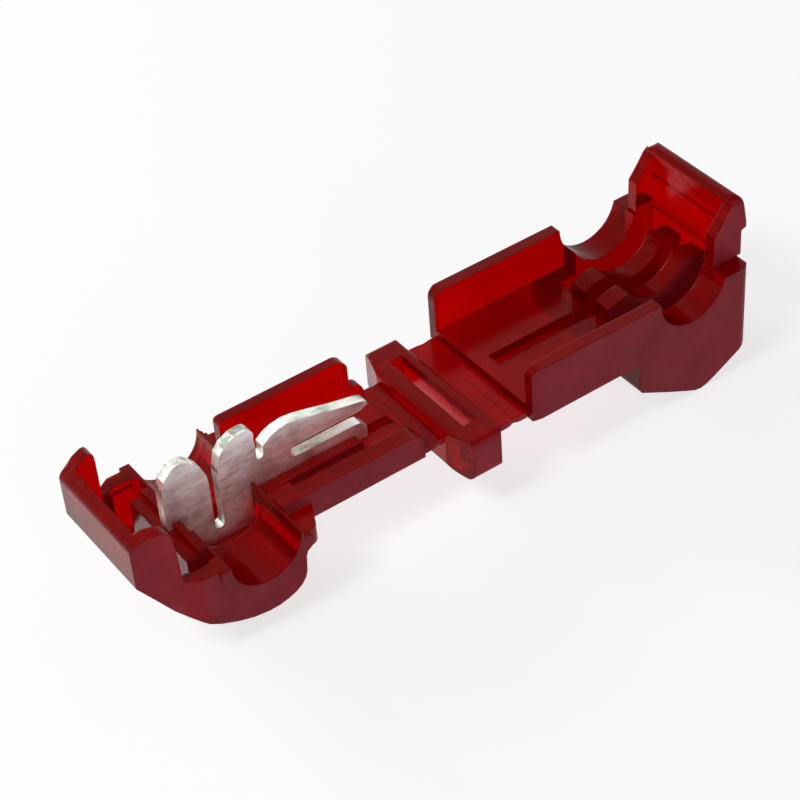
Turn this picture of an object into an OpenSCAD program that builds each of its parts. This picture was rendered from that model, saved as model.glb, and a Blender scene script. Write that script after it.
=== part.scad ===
// T-tap wire connector, moulded open and flat, with its stamped contact.
// Millimetres, +Z up. The three moulded pieces lie in a row along X and fold shut upward.
// X is measured from the outer face of the catch wall, then the row is centred on the origin.

/* [Base half] */
// Overall width of the wire block
block_width = 10.66; // [9:0.02:13]
// Width of the narrow channel behind the wire block
channel_width = 6.98; // [6:0.02:8]
// End of the base half at the first hinge
base_end = 19.88; // [18:0.02:21]
// Height of the base underside in the channel
channel_bottom = 4.51; // [4:0.01:5]
// Height of the channel floor
channel_floor = 5.2; // [4.9:0.01:5.6]
// Height of the near channel wall
channel_wall_top = 6.47; // [6:0.01:7]
// Thickness of the near channel wall
channel_wall = 1.1; // [0.8:0.02:1.4]
// Thickness of the tall far wall
tall_wall = 0.7; // [0.5:0.02:1]
// Height of the tall far wall
tall_wall_top = 8.6; // [8:0.02:8.7]
// Start of the tall far wall
tall_wall_start = 9.85; // [9.7:0.01:10.5]
// End of the tall far wall
tall_wall_end = 18.87; // [18:0.01:19.2]
// Top of the wire block walls
block_top = 6.24; // [6:0.01:6.3]
// Thickness of the catch wall
catch_wall = 0.76; // [0.6:0.02:1]
// Height of the catch wall
catch_wall_top = 9.73; // [9:0.01:10.5]
// Top of the two short walls beside the catch wall
cheek_top = 10.15; // [9.5:0.01:10.8]

/* [Wire passage] */
// Distance of the wire from the catch wall
wire_x = 7.4; // [7:0.01:8]
// Radius of the wire notch in the base half
wire_notch_radius = 2.33; // [2:0.01:2.5]
// Radius of the wire notch in the cover half
cover_notch_radius = 2.58; // [2.4:0.01:2.8]
// Width of the raised collar round the outer notch
collar_width = 0.68; // [0.4:0.02:0.9]
// How far the collar stands proud of the wall
collar_proud = 0.3; // [0.1:0.01:0.4]

/* [Contact] */
// Thickness of the stamped contact
contact_thickness = 0.72; // [0.5:0.01:0.9]
// Gap between the contact and its slit, each side
contact_fit = 0.03; // [0:0.01:0.1]
// Width of the slot that cuts into the wire
blade_slot = 0.62; // [0.4:0.01:0.9]
// Height of the bottom of the wire slot
blade_slot_bottom = 4.1; // [3.5:0.01:4.8]
// Height of the two prong tips
prong_top = 10.2; // [9.5:0.01:10.6]
// Middle height of the tab slot
tab_slot_mid = 6.9; // [6.6:0.01:7.1]
// Width of the tab slot
tab_slot = 0.84; // [0.7:0.01:1]
// Closed end of the tab slot
tab_slot_end = 12.6; // [12:0.01:14]
// Tip of the upper spring arm
arm_tip = 18.1; // [17:0.01:18.6]
// Lower edge of the contact in the channel
contact_bottom = 4.82; // [4.7:0.01:5.1]

/* [Hinge bar] */
// Near edge of the bar
bar_start = 21.3; // [21.2:0.01:22]
// Far edge of the bar
bar_end = 24.2; // [23.8:0.01:24.6]
// Length of the bar across the part
bar_length = 11.12; // [10.5:0.02:12]
// Height of the bar underside
bar_bottom = 2.72; // [2.5:0.01:3.5]
// Height of the bar top
bar_top = 5.7; // [5.4:0.01:5.8]
// Length of the tab window
window_length = 7.6; // [7:0.05:8.2]
// Width of the tab window
window_width = 1.04; // [0.9:0.01:1.3]

/* [Living hinges] */
// Height of both fold lines
hinge_height = 4.82; // [4.5:0.01:5]
// Position of the first fold line
hinge_one = 20.9; // [20.5:0.01:21.2]
// Position of the second fold line
hinge_two = 25.59; // [25.2:0.01:26]
// Thickness of the hinge webs
web_thickness = 0.42; // [0.3:0.01:0.6]
// Gap where a web meets its neighbours
web_fit = 0.02; // [0.01:0.01:0.05]

/* [Cover half] */
// Start of the cover half
cover_start = 26.6; // [26.4:0.01:27]
// Outer end face of the cover half
cover_end = 43.91; // [43.5:0.01:44.2]
// Width of the cover half
cover_width = 10.68; // [10:0.02:12]
// Thickness of the cover walls
cover_wall = 0.85; // [0.7:0.01:1.1]
// Height of the cover underside
cover_bottom = 4.64; // [4.4:0.01:4.9]
// Height of the cover floor
cover_floor = 5.56; // [5.3:0.01:5.7]
// Top of the cover walls before the notch
cover_wall_top = 8.46; // [8.2:0.01:8.5]
// Top of the cover walls after the notch
cover_end_top = 7.95; // [7.5:0.01:8]
// Start of the deep block under the cover
deep_start = 34.86; // [34:0.01:36]
// Height of the start of the deep block underside
deep_start_bottom = 2.28; // [1.8:0.01:3]
// Position of the lowest line of the deep block
deep_low = 39.93; // [39:0.01:41]
// Height of the end of the deep block underside
deep_end_bottom = 1.86; // [1.5:0.01:2.5]
// Thickness of the two ribs that carry the wire
rib_thickness = 1.3; // [1:0.02:1.6]
// Width of the long slit that clears the contact
clear_slit = 1.04; // [0.9:0.01:1.2]

/* [Latch tongue] */
// Thickness of the latch tongue
tongue_thickness = 0.88; // [0.6:0.01:1.1]
// Height of the tongue tip
tongue_top = 12.35; // [11.8:0.01:12.8]
// Width of the latch tongue
tongue_width = 8.2; // [7:0.02:8.6]
// Thickness of the cheeks beside the tongue
cheek_thickness = 0.8; // [0.6:0.02:1]
// How far the barb stands proud
barb_proud = 0.38; // [0.2:0.01:0.5]
// Height of the barb shoulder
barb_height = 9.9; // [9.5:0.01:10.2]

/* [Hidden] */
$fn = 64;
half_block = block_width / 2;
half_channel = channel_width / 2;
half_cover = cover_width / 2;
hinge_span = hinge_two - hinge_one;
// A cover point at x lies at fold_sum minus x once the part is shut
fold_sum = hinge_one + hinge_two;
cover_wire_x = fold_sum - wire_x;
tongue_back = cover_end + 0.12;
tongue_front = tongue_back - tongue_thickness;
overall_length = tongue_back + barb_proud;
slit_width = contact_thickness + 2 * contact_fit;
slot_low = tab_slot_mid - tab_slot / 2;
slot_high = tab_slot_mid + tab_slot / 2;
window_x = hinge_one + tab_slot_mid - hinge_height;
nylon = "#a01522";
tin = "#c9c8c0";

function arc(cx, cz, r, from, to, steps = 8) =
  [for (i = [0:steps]) [cx + r * cos(from + (to - from) * i / steps), cz + r * sin(from + (to - from) * i / steps)]];

// Extrudes an X-Z outline across the part
module side(outline, width, y = 0) {
  rotate([90, 0, 0])
    translate([0, 0, -y])
      linear_extrude(height = width, center = true)
        polygon(outline);
}

// Extrudes an X-Y outline upward
module plan(outline, from, to) {
  translate([0, 0, from])
    linear_extrude(height = to - from)
      polygon(outline);
}

// Extrudes a Y-Z outline along the part
module front(outline, from, to) {
  translate([from, 0, 0])
    rotate([90, 0, 90])
      linear_extrude(height = to - from)
        polygon(outline);
}

module across(x, z, r, length, y = 0) {
  translate([x, y, z])
    rotate([90, 0, 0])
      cylinder(r = r, h = length, center = true);
}

module span(x0, x1, y0, y1, z0, z1) {
  translate([x0, y0, z0])
    cube([x1 - x0, y1 - y0, z1 - z0]);
}

// Wire block and catch block in side view
block_outline = concat(
  [[0, 6.6], [1.78, 4.15], [2.4, 3.5], [3.09, 2.92], [4.1, 2.28], [5.2, 1.78], [6.2, 1.45], [7.19, 1.29]],
  [[7.95, 1.3], [8.59, 1.44], [9.15, 1.66], [9.56, 1.95], [9.84, 2.32], [9.98, 2.75], [10.07, 3.93]],
  [[10.2, 4.25], [10.58, 4.51], [11.8, 4.51], [11.8, 5.7], [9.99, 5.7], [9.92, block_top], [2.6, block_top]],
  [[2.46, 6.35], [2.42, 7.7]],
  arc(1.72, cheek_top - 0.6, 0.6, 0, 90),
  [[1.1, cheek_top - 0.06]],
  arc(0.5, catch_wall_top - 0.5, 0.5, 100, 180));

// Wire block and catch block seen from above
block_plan = concat(
  [[0, -3.89], [0.9, -4.16], [2.28, -4.66]],
  [[3.38, -half_block], [10.5, -half_block]],
  arc(10.5, -half_block + 0.7, 0.7, -90, -20),
  [[11.8, -half_channel], [11.8, half_channel]],
  arc(10.5, half_block - 0.7, 0.7, 20, 90),
  [[3.38, half_block], [2.28, 4.66], [0.9, 4.16], [0, 3.89]]);

pocket_plan = [
  [catch_wall, -3.2], [2.3, -3.86], [3.3, -half_block + 0.9], [4.4, -half_block + 0.9],
  [4.4, half_block - 0.9], [3.3, half_block - 0.9], [2.3, 3.86], [catch_wall, 3.2]];

pocket_side = [[catch_wall, 12], [catch_wall, 7.05], [1.62, 5.84], [4.4, 5.84], [4.4, 12]];
slot_side = [[2.34, 9], [2.34, 4.5], [1.2, 4.5], [1.2, 1], [3.6, 1], [3.6, 9]];
cheek_slot_side = [[2.34, 9], [2.34, 1], [3.6, 1], [3.75, 2.45], [4.1, 3.0], [4.9, 3.6], [4.9, 9]];
ramp_side = [[1.62, 5.84], [2.34, 4.86], [2.6, 4.86], [2.6, 6.2], [1.62, 6.2]];

near_wall_side = concat(
  [[9.9, channel_bottom], [base_end, channel_bottom]],
  arc(base_end - 0.9, channel_wall_top - 0.9, 0.9, 0, 90),
  [[9.9, channel_wall_top]]);

far_wall_side = concat(
  [[tall_wall_start, channel_bottom], [base_end, channel_bottom]],
  arc(base_end - 0.8, 5.5, 0.8, 0, 90),
  [[tall_wall_end + 0.1, 6.3], [tall_wall_end, 6.4]],
  arc(tall_wall_end - 0.8, tall_wall_top - 0.8, 0.8, 0, 90),
  arc(tall_wall_start + 0.3, tall_wall_top - 0.3, 0.3, 90, 180, 4));

module channel() {
  span(9.9, base_end, -half_channel, half_channel, channel_bottom, channel_floor);
  side(near_wall_side, channel_wall, -half_channel + channel_wall / 2);
  side(far_wall_side, tall_wall, half_channel - tall_wall / 2);
  // Rail along the slit that carries the contact
  side([[9.9, 4.6], [17.4, 4.6], [17.0, 5.75], [9.9, 5.75]], slit_width + 1.5);
}

module collar() {
  difference() {
    across(wire_x, block_top, wire_notch_radius + collar_width, block_width + 2 * collar_proud);
    across(wire_x, block_top, wire_notch_radius - 0.3, block_width + 4);
    span(0, 20, -half_block + 0.3, half_block - 0.3, 0, 12);
    span(0, 20, -9, 9, block_top, 12);
    span(9.85, 20, -9, 9, 5.65, 12);
  }
}

module base_half() {
  color(nylon)
    difference() {
      union() {
        intersection() {
          side(block_outline, block_width + 2);
          plan(block_plan, 0, 12);
        }
        channel();
        collar();
      }
      // Half-round seat for the run wire
      across(wire_x, block_top, wire_notch_radius, block_width + 4);
      // Pocket behind the catch wall
      intersection() {
        side(pocket_side, block_width);
        plan(pocket_plan, 5.84, 12);
      }
      intersection() {
        side(pocket_side, 6.3);
        plan(pocket_plan, 4, 12);
      }
      // Slot that the latch tongue drops through, with room for its cheeks
      side(slot_side, tongue_width + 0.24);
      for (y = [-1, 1])
        side(cheek_slot_side, cheek_thickness + 0.24, y * (tongue_width / 2 - cheek_thickness / 2));
      side(ramp_side, 6.3);
      // Relief either side of the contact inside the wire block
      span(4.9, 9.7, -1.55, 1.55, 3.2, 12);
      // Slit that holds the contact
      side(slit_outline, slit_width);
    }
}

slit_outline = [
  [3.9, 12], [4.1, 4.4], [5.0, 2.72], [9.3, 2.66], [10.1, contact_bottom - 0.03],
  [base_end + 1, contact_bottom - 0.03], [base_end + 1, 12]];

// Two wire prongs on the left, two tab arms on the right
contact_outline = concat(
  [[4.22, 4.42], [5.06, 2.8], [9.22, 2.72], [10.14, contact_bottom]],
  [[17.94, contact_bottom], [17.94, slot_low - 0.5], [17.5, slot_low - 0.06], [17.1, slot_low]],
  arc(tab_slot_end + tab_slot / 2, tab_slot_mid, tab_slot / 2, -90, -270),
  [[17.1, slot_high], [17.6, slot_high + 0.06], [arm_tip, slot_high + 0.26], [arm_tip - 0.04, 7.82]],
  [[17.72, 8.0], [17.26, 8.1], [15.9, 8.4], [14.4, 8.82]],
  [[13.3, 9.1], [12.6, 9.18], [11.9, 9.08], [11.3, 8.84], [10.83, 8.46]],
  arc(10.56, 7.94, 0.26, 0, -150),
  [[10.36, 8.6], [10.3, 9.3]],
  arc(9.72, prong_top - 0.62, 0.62, 10, 90),
  [[9.1, prong_top - 0.04], [8.4, prong_top - 0.42], [7.98, 9.3], [wire_x + blade_slot / 2 + 0.06, 8.4]],
  [[wire_x + blade_slot / 2, 7.7]],
  arc(wire_x, blade_slot_bottom + blade_slot / 2, blade_slot / 2, 0, -180),
  [[wire_x - blade_slot / 2, 7.7], [wire_x - blade_slot / 2 - 0.06, 8.4], [6.72, 9.2], [6.3, prong_top - 0.48]],
  arc(5.4, prong_top - 0.95, 0.95, 35, 120),
  [[4.3, 9.45], [4.06, 8.6], [4.06, 6.2]]);

module contact_plate() {
  color(tin)
    side(contact_outline, contact_thickness);
}

// Thin neck in side view, waisted on its fold line
function web_outline(from, to, middle) = concat(
  [[from, hinge_height - web_thickness / 2], [middle - 0.3, hinge_height - web_thickness / 2]],
  arc(middle, hinge_height - web_thickness / 2 - 0.3, 0.36, 130, 50, 6),
  [[middle + 0.3, hinge_height - web_thickness / 2], [to, hinge_height - web_thickness / 2]],
  [[to, hinge_height + web_thickness / 2], [from, hinge_height + web_thickness / 2]]);

module front_web() {
  color(nylon)
    side(web_outline(base_end + web_fit, bar_start - web_fit, hinge_one), channel_width - 0.3);
}

bar_side = concat(
  arc(bar_start + 0.55, bar_bottom + 0.55, 0.55, 180, 270),
  arc(bar_end - 0.7, bar_bottom + 0.7, 0.7, 270, 360),
  arc(bar_end - 0.25, bar_top - 0.25, 0.25, 0, 90, 4),
  arc(bar_start + 0.35, bar_top - 0.35, 0.35, 90, 180, 4));

bar_front = concat(
  arc(-bar_length / 2 + 0.6, bar_bottom + 0.6, 0.6, 180, 270),
  arc(bar_length / 2 - 0.6, bar_bottom + 0.6, 0.6, 270, 360),
  arc(bar_length / 2 - 0.4, bar_top - 0.4, 0.4, 0, 90, 5),
  arc(-bar_length / 2 + 0.4, bar_top - 0.4, 0.4, 90, 180, 5));

bar_plan = [
  [bar_start, -half_channel], [bar_start + 0.6, -bar_length / 2], [bar_end - 0.25, -bar_length / 2],
  [bar_end, -bar_length / 2 + 0.4], [bar_end, bar_length / 2 - 0.4],
  [bar_end - 0.25, bar_length / 2], [bar_start + 0.6, bar_length / 2], [bar_start, half_channel]];

module hinge_bar() {
  color(nylon)
    difference() {
      intersection() {
        side(bar_side, bar_length + 1);
        front(bar_front, bar_start - 1, bar_end + 1);
        plan(bar_plan, 0, 12);
      }
      // Window for the male tab, with a lead-in on the outer side
      span(window_x - window_width / 2, window_x + window_width / 2, -window_length / 2, window_length / 2, 0, 12);
      front([[-window_length / 2 - 0.35, bar_bottom - 0.1], [-window_length / 2, bar_bottom + 0.45],
        [window_length / 2, bar_bottom + 0.45], [window_length / 2 + 0.35, bar_bottom - 0.1]],
        window_x - window_width / 2 - 0.2, window_x + window_width / 2 + 0.2);
    }
}

module rear_web() {
  color(nylon)
    side(web_outline(bar_end + web_fit, cover_start - web_fit, hinge_two), 9.3);
}

cover_outline = concat(
  [[cover_start, cover_bottom], [deep_start - 0.35, cover_bottom], [deep_start, cover_bottom - 0.35]],
  arc(deep_start + 0.5, deep_start_bottom + 0.4, 0.5, 180, 250, 5),
  [[37.2, 1.16], [deep_low - 1.1, 0.36]],
  [[deep_low - 0.5, 0.08], [deep_low, 0], [deep_low + 0.5, 0.12], [deep_low + 1.2, 0.44]],
  [[cover_end - 0.4, deep_end_bottom - 0.14], [cover_end, deep_end_bottom + 0.3]],
  arc(cover_end - 0.3, cover_end_top - 0.3, 0.3, 0, 90, 4),
  [[cover_wire_x + cover_notch_radius - 0.4, cover_end_top]],
  [[cover_wire_x, cover_end_top], [cover_wire_x, cover_wall_top]],
  arc(cover_start + 0.6, cover_wall_top - 0.6, 0.6, 90, 180));

// Cover half seen from above, with rounded end corners
cover_plan = concat(
  [[cover_start, -half_cover + 0.15], [cover_start + 0.6, -half_cover]],
  arc(cover_end - 0.9, -half_cover + 0.9, 0.9, -90, 0),
  arc(cover_end - 0.9, half_cover - 0.9, 0.9, 0, 90),
  [[cover_start + 0.6, half_cover], [cover_start, half_cover - 0.15]]);

inner_half = half_cover - cover_wall;
// The walls of the deep block are thicker and carry the cheeks
deep_half = tongue_width / 2 - cheek_thickness;
well_back = cover_end - 0.8;

// Hollow over the flat floor
floor_well = [
  [cover_start - 1, cover_floor], [deep_start + 0.75, cover_floor],
  [deep_start + 0.75, 12], [cover_start - 1, 12]];

// Hollow of the deep block, which follows its underside
deep_well = [
  [deep_start + 0.7, cover_floor], [deep_start + 0.85, 3.15], [deep_low, 0.95],
  [well_back, 2.65], [well_back, 12], [deep_start + 0.7, 12]];

// Ribs that carry the wire, cut by the half-round seat
rib_side = [
  [deep_start + 0.4, 6.6], [deep_start + 0.4, 2.6], [deep_low, 0.5], [cover_end - 0.5, 2.2],
  [cover_end - 0.5, 7.2], [cover_wire_x + 2.9, 7.5], [cover_wire_x - 2.9, 6.9]];

module cover_shell() {
  difference() {
    intersection() {
      side(cover_outline, cover_width + 2);
      plan(cover_plan, -1, 12);
    }
    side(floor_well, 2 * inner_half);
    side(deep_well, 2 * deep_half);
    // Room for the ends of the channel walls once shut
    span(deep_start + 0.7, fold_sum - tall_wall_start + 0.15, -inner_half, inner_half, cover_floor, 12);
  }
}

module wire_rib(y, thickness) {
  side(rib_side, thickness, y);
}

module cover_half() {
  color(nylon)
    difference() {
      union() {
        cover_shell();
        for (y = [-1, 1])
          wire_rib(y * (clear_slit / 2 + rib_thickness / 2), rib_thickness);
      }
      // Half-round seat over the run wire
      across(cover_wire_x, cover_wall_top, cover_notch_radius, cover_width + 4);
      // Groove in the floor that clears the upper arm
      side([[cover_start + 1.06, 12], [cover_start + 1.06, 4.95], [deep_start + 1.4, 4.95], [deep_start + 1.4, 12]],
        clear_slit);
    }
}

tongue_side = concat(
  [[tongue_front, cover_end_top + web_fit], [tongue_back, cover_end_top + web_fit]],
  [[tongue_back, barb_height - 0.12], [overall_length, barb_height], [overall_length, barb_height + 0.4]],
  arc(tongue_back - 0.3, tongue_top - 0.4, 0.4, 20, 90, 5),
  arc(tongue_front + 0.35, tongue_top - 0.35, 0.35, 90, 180, 5));

tongue_face = concat(
  [[-tongue_width / 2, cover_end_top], [tongue_width / 2, cover_end_top]],
  arc(tongue_width / 2 - 0.7, tongue_top - 0.7, 0.7, 0, 90),
  arc(-tongue_width / 2 + 0.7, tongue_top - 0.7, 0.7, 90, 180));

cheek_side = [
  [cover_wire_x + 2.68, cover_end_top + web_fit], [tongue_front + 0.2, cover_end_top + web_fit],
  [tongue_front + 0.2, tongue_top - 0.25], [tongue_front - 0.12, tongue_top - 0.5], [tongue_front - 0.6, tongue_top - 1.2],
  [cover_wire_x + 2.95, 10.5], [cover_wire_x + 2.74, 10.2]];

module latch_tongue() {
  color(nylon) {
    intersection() {
      side(tongue_side, tongue_width + 1);
      front(tongue_face, tongue_front - 1, overall_length + 1);
    }
    // Cheeks that slope up to the tip
    for (y = [-1, 1])
      side(cheek_side, cheek_thickness, y * (tongue_width / 2 - cheek_thickness / 2));
  }
}

module row() {
  base_half();
  contact_plate();
  front_web();
  hinge_bar();
  rear_web();
  cover_half();
  latch_tongue();
}

translate([-overall_length / 2, 0, 0]) row();
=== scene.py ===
import math

import bmesh
import bpy
from mathutils import Matrix, Vector


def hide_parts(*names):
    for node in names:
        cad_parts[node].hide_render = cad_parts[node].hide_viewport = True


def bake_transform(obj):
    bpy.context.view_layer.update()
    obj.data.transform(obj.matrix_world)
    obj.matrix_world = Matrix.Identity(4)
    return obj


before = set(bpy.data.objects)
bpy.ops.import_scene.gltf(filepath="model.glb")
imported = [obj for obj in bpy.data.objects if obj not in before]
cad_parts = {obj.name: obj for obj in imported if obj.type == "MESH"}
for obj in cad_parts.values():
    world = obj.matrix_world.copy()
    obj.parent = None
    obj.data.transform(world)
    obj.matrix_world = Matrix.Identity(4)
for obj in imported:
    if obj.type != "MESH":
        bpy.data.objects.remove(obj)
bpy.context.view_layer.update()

# T-tap wire connector, moulded open and flat. The imported solids get their nylon and their tin, the
# two hinge webs get meshes of their own, grooved under the fold, and a plain white studio lights
# them as in the photograph.

MM = 0.001
# X of the row's origin, measured from the outer face of the catch wall, in millimetres
ORIGIN_X = 22.205
# Height of both hinge webs, in millimetres
HINGE_Z = 4.82

# Camera, solved from the photograph: degrees, millimetres, pixels, and the clip in metres
AZIMUTH, ELEVATION, ROLL = -33.2, 41.3, -4.4
AIM = (-0.209, 0.0, 4.568)
DISTANCE = 137.898
FOCAL_PIXELS = 2279
PICTURE_PIXELS = 800
SENSOR = 36
SHIFT_X, SHIFT_Y = -0.025, 0.0138
CLIP_START = 0.005

# Hinge webs, in millimetres: where each starts, folds and ends along the row, and its width
WEBS = {
    "front_web": dict(start=19.90, fold=20.9, end=21.28, width=6.68, bodies=("base", "bar")),
    "rear_web": dict(start=24.22, fold=25.59, end=26.58, width=9.3, bodies=("bar", "cover")),
}
WEB_THICKNESS = 0.42
# The groove under a fold is part of a circle, with its centre this far below the web
GROOVE_RADIUS = 0.36
GROOVE_DROP = 0.3
# Share by which the long edges draw in at the fold, and how far along the row that reaches
WAIST = 0.018
WAIST_REACH = 0.35
# Number of sections along a web, and of steps across its width
WEB_STEPS, WEB_COLUMNS = 36, 8

# Studio, in metres and watts
FLOOR_SIZE = 1.2
FLOOR_DROP = 0.00005
# Share of the floor's own glow in what the camera sees, which leaves the shadow visible
FLOOR_GLOW = 0.72
ROOM_LIGHT = 0.25
LAMP_AIM = (0, 0, 0.005)
LAMPS = {
    "key": dict(place=(-0.20, -0.02, 0.28), size=0.10, power=0.62, shine=0.45),
    "front": dict(place=(-0.02, -0.30, 0.10), size=0.12, power=0.17, shine=1.0),
    "back": dict(place=(-0.10, 0.30, 0.12), size=0.12, power=0.75, shine=1.0),
}

scene = bpy.context.scene
scene.view_settings.view_transform = "Standard"


# Camera
def add_camera():
    azimuth, elevation, roll = map(math.radians, (AZIMUTH, ELEVATION, ROLL))
    back = Vector((
        math.sin(azimuth) * math.cos(elevation),
        -math.cos(azimuth) * math.cos(elevation),
        math.sin(elevation)))
    level = Vector((math.cos(azimuth), math.sin(azimuth), 0))
    upright = back.cross(level)
    c, s = math.cos(roll), math.sin(roll)
    side, top = c * level + s * upright, c * upright - s * level
    eye = (Vector(AIM) + back * DISTANCE) * MM
    data = bpy.data.cameras.new("camera")
    data.sensor_width = SENSOR
    data.lens = FOCAL_PIXELS / PICTURE_PIXELS * SENSOR
    data.shift_x = SHIFT_X
    data.shift_y = SHIFT_Y
    data.clip_start = CLIP_START
    camera = bpy.data.objects.new("camera", data)
    camera.matrix_world = Matrix((
        (side.x, top.x, back.x, eye.x),
        (side.y, top.y, back.y, eye.y),
        (side.z, top.z, back.z, eye.z),
        (0, 0, 0, 1)))
    scene.collection.objects.link(camera)
    scene.camera = camera


# Materials
class Nodes:
    """A new material, with short calls for building its node tree."""

    def __init__(self, name):
        self.material = bpy.data.materials.new(name)
        self.material.use_nodes = True
        self.tree = self.material.node_tree
        self.shader = self.tree.nodes["Principled BSDF"]
        self.out = self.tree.nodes["Material Output"]

    def add(self, kind, **values):
        """A node, whose values are set on its properties or, failing that, on its sockets."""
        node = self.tree.nodes.new("ShaderNode" + kind)
        for key, value in values.items():
            if hasattr(node, key):
                setattr(node, key, value)
            else:
                node.inputs[key].default_value = value
        return node

    def join(self, a, b):
        self.tree.links.new(a, b)

    def set(self, **values):
        """Plain values for the shader's sockets, with _ for the spaces in a socket's name."""
        for key, value in values.items():
            self.shader.inputs[key.replace("_", " ")].default_value = value

    def place(self):
        return self.add("TexCoord").outputs["Object"]

    def split(self, source):
        """The X, Y and Z of a vector, as the outputs of one node."""
        node = self.add("SeparateXYZ")
        self.join(source, node.inputs[0])
        return node.outputs

    def noise(self, scale, detail, rough, stretch=None):
        node = self.add("TexNoise", Scale=scale, Detail=detail, Roughness=rough)
        source = self.place()
        if stretch:
            mapping = self.add("Mapping")
            mapping.inputs["Scale"].default_value = stretch
            self.join(source, mapping.inputs["Vector"])
            source = mapping.outputs["Vector"]
        self.join(source, node.inputs["Vector"])
        return node.outputs["Fac"]

    def ramp(self, source, *stops):
        """A colour that follows the source from stop to stop, each stop a place and a colour."""
        node = self.add("ValToRGB")
        ramp = node.color_ramp
        while len(ramp.elements) < len(stops):
            ramp.elements.new(0.5)
        for element, (at, colour) in zip(ramp.elements, stops):
            element.position = at
            element.color = (*colour, 1)
        self.join(source, node.inputs["Fac"])
        return node.outputs["Color"]

    def grey(self, source, low, high, at=(0.3, 0.7)):
        """A value from low to high, while the source goes from at[0] to at[1]."""
        node = self.add("MapRange")
        node.inputs["From Min"].default_value = at[0]
        node.inputs["From Max"].default_value = at[1]
        node.inputs["To Min"].default_value = low
        node.inputs["To Max"].default_value = high
        self.join(source, node.inputs["Value"])
        return node.outputs["Result"]

    def feed(self, socket, value):
        """Sets a socket to a number, or joins it to another node's output."""
        if isinstance(value, (int, float)):
            socket.default_value = value
        else:
            self.join(value, socket)

    def colour_mix(self, factor, a, b):
        node = self.add("Mix", data_type="RGBA")
        self.join(factor, node.inputs[0])
        self.join(a, node.inputs[6])
        self.join(b, node.inputs[7])
        return node.outputs[2]

    def value_mix(self, factor, a, b):
        node = self.add("Mix", data_type="FLOAT")
        self.join(factor, node.inputs[0])
        self.feed(node.inputs[2], a)
        self.feed(node.inputs[3], b)
        return node.outputs[0]

    def math(self, operation, *values):
        node = self.add("Math", operation=operation)
        for socket, value in zip(node.inputs, values):
            self.feed(socket, value)
        return node.outputs[0]

    def bump(self, height, strength, distance, below=None):
        node = self.add("Bump", Strength=strength, Distance=distance)
        self.join(height, node.inputs["Height"])
        if below is not None:
            self.join(below, node.inputs["Normal"])
        return node.outputs["Normal"]


def nylon_material():
    """Translucent red nylon: it glows where it is thin, and its outer side faces are matt."""
    n = Nodes("red_nylon")
    normal = n.split(n.add("NewGeometry").outputs["True Normal"])
    # 1 on side faces that look away from the middle plane, 0 on the polished inner faces
    outward = n.math("MULTIPLY", normal["Y"], n.math("SIGN", n.split(n.place())["Y"]))
    sideways = n.grey(outward, 0.0, 1.0, (0.55, 0.95))
    # 1 on upward faces, which read darker over the thick block or the shaded table, so they get a
    # painted shade: a darker colour and less transmission
    upward = n.grey(normal["Z"], 0.0, 1.0, (0.35, 0.9))

    # Colour: the melt's flow marks in the clear faces, a darker painted shade on the upward ones,
    # and a cloudy painted sheen of greyed pink on the matt ones
    flow = n.noise(160, 3.0, 0.55, (1.0, 1.6, 1.6))
    cloud = n.noise(420, 5.0, 0.6)
    clear = n.ramp(
        flow, (0.30, (0.50, 0.0, 0.0)), (0.55, (0.60, 0.0, 0.0)), (0.75, (0.70, 0.0005, 0.001)))
    # A darker copy of the same red, as painted shade on the upward faces
    shaded = n.ramp(
        flow, (0.30, (0.26, 0.0, 0.0)), (0.55, (0.33, 0.0, 0.0)), (0.75, (0.42, 0.0, 0.001)))
    # Greyed pink, as painted sheen on the matt side faces
    matt = n.ramp(
        cloud,
        (0.30, (0.27, 0.026, 0.042)), (0.52, (0.33, 0.033, 0.050)), (0.72, (0.40, 0.042, 0.060)))
    inner = n.colour_mix(upward, clear, shaded)
    n.join(n.colour_mix(sideways, inner, matt), n.shader.inputs["Base Color"])

    # Finish: fine grain, and sparse handling scratches on the polished faces
    fine = n.noise(2600, 4.0, 0.65)
    scratch = n.grey(n.noise(1100, 4.0, 0.6, (0.25, 1.0, 0.7)), 0.0, 1.0, (0.68, 0.76))
    polished = n.math("ADD", n.grey(fine, 0.12, 0.22), n.math("MULTIPLY", scratch, 0.25))
    n.join(n.value_mix(sideways, polished, n.grey(fine, 0.40, 0.58)), n.shader.inputs["Roughness"])
    passing = n.value_mix(sideways, n.grey(upward, 0.9, 0.66, (0.0, 1.0)), 0.50)
    n.join(passing, n.shader.inputs["Transmission Weight"])
    # A low index and a red tint keep the white background's mirror image off the dark faces
    n.set(IOR=1.34, Specular_IOR_Level=0.08, Specular_Tint=(1.0, 0.10, 0.10, 1))

    # Relief: rounded edges, then sink waves, grain and scratches
    edge = n.add("Bevel", samples=4, Radius=0.00014).outputs[0]
    wave = n.noise(900, 2.0, 0.5, (1.0, 2.2, 2.2))
    relief = n.bump(wave, 0.30, 0.00006, edge)
    relief = n.bump(fine, 0.30, 0.00002, relief)
    n.join(n.bump(scratch, 0.22, 0.00003, relief), n.shader.inputs["Normal"])

    # Depth: the red deepens with the thickness that light passes
    depth = n.add("VolumeAbsorption", Color=(0.72, 0.02, 0.03, 1), Density=900.0)
    n.join(depth.outputs[0], n.out.inputs["Volume"])
    return n.material


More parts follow.
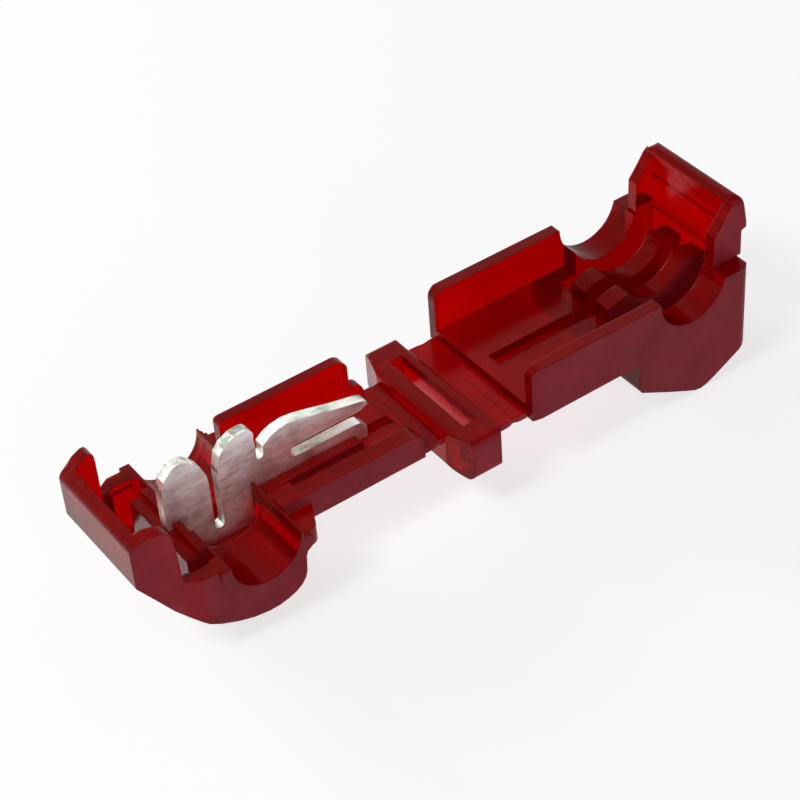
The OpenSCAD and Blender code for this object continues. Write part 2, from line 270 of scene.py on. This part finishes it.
def tin_material():
    """Tin-plated brass: faces mottled from bright tin to a painted pink reflection of the red nylon,
    and bright streaked edges.
    """
    n = Nodes("tinned_brass")
    normal = n.split(n.add("NewGeometry").outputs["True Normal"])
    # 1 on the two flat faces of the stamping, 0 on its sheared edges
    face = n.grey(n.math("ABSOLUTE", normal["Y"]), 0.0, 1.0, (0.5, 0.9))
    streak = n.noise(700, 5.0, 0.6, (0.35, 1.0, 1.6))
    reflection_patches = n.noise(260, 4.0, 0.6)
    # Plated faces: bright tin, mottled with a painted pink reflection of the red nylon
    plate = n.ramp(
        reflection_patches, (0.36, (0.50, 0.38, 0.36)), (0.47, (0.78, 0.73, 0.72)), (0.60, (0.96, 0.95, 0.96)))
    shear = n.ramp(
        streak, (0.38, (0.24, 0.27, 0.22)), (0.47, (0.70, 0.74, 0.65)), (0.57, (0.94, 0.97, 0.90)))
    n.join(n.colour_mix(face, shear, plate), n.shader.inputs["Base Color"])
    grain = n.noise(3200, 5.0, 0.7, (0.3, 1.0, 1.0))
    n.join(n.grey(grain, 0.26, 0.48), n.shader.inputs["Roughness"])
    n.set(Metallic=0.78)
    relief = n.bump(streak, 0.35, 0.00008)
    n.join(n.bump(grain, 0.25, 0.00002, relief), n.shader.inputs["Normal"])
    return n.material


# Hinge webs, as meshes of their own with a groove and a waist at the fold
def row(x, y, z):
    """A point in the source's millimetres, with X from the catch wall, as a point of the frame."""
    return Vector(((x - ORIGIN_X) * MM, y * MM, z * MM))


def web_ring(x, fold, width):
    """Points round a web's section at X: along its grooved lower face and back along the top."""
    reach = GROOVE_RADIUS ** 2 - (x - fold) ** 2
    groove = max(0.0, math.sqrt(reach) - GROOVE_DROP) if reach > 0 else 0.0
    waist = 1 - WAIST * math.exp(-((x - fold) / WAIST_REACH) ** 2)
    low = HINGE_Z - WEB_THICKNESS / 2 + groove
    high = HINGE_Z + WEB_THICKNESS / 2
    columns = [width * waist * (j / WEB_COLUMNS - 0.5) for j in range(WEB_COLUMNS + 1)]
    return [row(x, y, low) for y in columns] + [row(x, y, high) for y in reversed(columns)]


def add_web(node, start, fold, end, width, bodies):
    name = node + "_bend"
    mesh = bpy.data.meshes.new(name)
    bm = bmesh.new()
    rings = []
    for i in range(WEB_STEPS + 1):
        x = start + (end - start) * i / WEB_STEPS
        rings.append([bm.verts.new(point) for point in web_ring(x, fold, width)])
    for a, b in zip(rings, rings[1:]):
        for j in range(len(a)):
            k = (j + 1) % len(a)
            bm.faces.new((a[j], b[j], b[k], a[k]))
    bm.faces.new(rings[0])
    bm.faces.new(list(reversed(rings[-1])))
    bmesh.ops.recalc_face_normals(bm, faces=bm.faces)
    bm.to_mesh(mesh)
    bm.free()
    web = bpy.data.objects.new(name, mesh)
    scene.collection.objects.link(web)
    mesh.materials.append(nylon)
    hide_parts(node)
    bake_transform(web)


# Studio
def sees_background(tree):
    """1 for camera, glossy and transmission rays, which see the white background."""
    path = tree.nodes.new("ShaderNodeLightPath")
    seen = path.outputs["Is Camera Ray"]
    for kind in ("Is Glossy Ray", "Is Transmission Ray"):
        either = tree.nodes.new("ShaderNodeMath")
        either.operation = "MAXIMUM"
        tree.links.new(seen, either.inputs[0])
        tree.links.new(path.outputs[kind], either.inputs[1])
        seen = either.outputs[0]
    return seen


def floor_material():
    """Matt near-white, mixed with a glow of its own for the rays that see the background."""
    n = Nodes("floor")
    n.set(Base_Color=(0.93, 0.93, 0.93, 1), Roughness=0.9, Specular_IOR_Level=0.1)
    glow = n.add("Emission", Color=(1, 1, 1, 1), Strength=1.0)
    blend = n.add("MixShader")
    n.join(n.value_mix(sees_background(n.tree), 0.0, FLOOR_GLOW), blend.inputs[0])
    n.join(n.shader.outputs[0], blend.inputs[1])
    n.join(glow.outputs[0], blend.inputs[2])
    n.join(blend.outputs[0], n.out.inputs["Surface"])
    return n.material


def add_floor():
    mesh = bpy.data.meshes.new("floor")
    bm = bmesh.new()
    bmesh.ops.create_grid(bm, x_segments=8, y_segments=8, size=FLOOR_SIZE)
    bm.to_mesh(mesh)
    bm.free()
    floor = bpy.data.objects.new("floor", mesh)
    floor.location.z = -FLOOR_DROP
    scene.collection.objects.link(floor)
    mesh.materials.append(floor_material())


def add_world():
    world = bpy.data.worlds.new("world")
    world.use_nodes = True
    scene.world = world
    tree = world.node_tree
    tree.nodes.clear()
    mix = tree.nodes.new("ShaderNodeMixShader")
    tree.links.new(sees_background(tree), mix.inputs[0])
    for socket, strength in ((mix.inputs[1], ROOM_LIGHT), (mix.inputs[2], 1.0)):
        white = tree.nodes.new("ShaderNodeBackground")
        white.inputs["Color"].default_value = (1, 1, 1, 1)
        white.inputs["Strength"].default_value = strength
        tree.links.new(white.outputs[0], socket)
    out = tree.nodes.new("ShaderNodeOutputWorld")
    tree.links.new(mix.outputs[0], out.inputs["Surface"])


def add_lamp(name, place, size, power, shine):
    data = bpy.data.lights.new(name, "AREA")
    data.shape = "DISK"
    data.size = size
    data.energy = power
    data.specular_factor = shine
    lamp = bpy.data.objects.new(name, data)
    lamp.location = Vector(place)
    aim = Vector(LAMP_AIM) - Vector(place)
    lamp.rotation_euler = aim.to_track_quat("-Z", "Y").to_euler()
    scene.collection.objects.link(lamp)


add_camera()

nylon = nylon_material()
tin = tin_material()
for name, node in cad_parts.items():
    node.data.materials.clear()
    node.data.materials.append(tin if name == "contact_plate" else nylon)

for name, web in WEBS.items():
    add_web(name, **web)

add_floor()
add_world()
for name, lamp in LAMPS.items():
    add_lamp(name, **lamp)
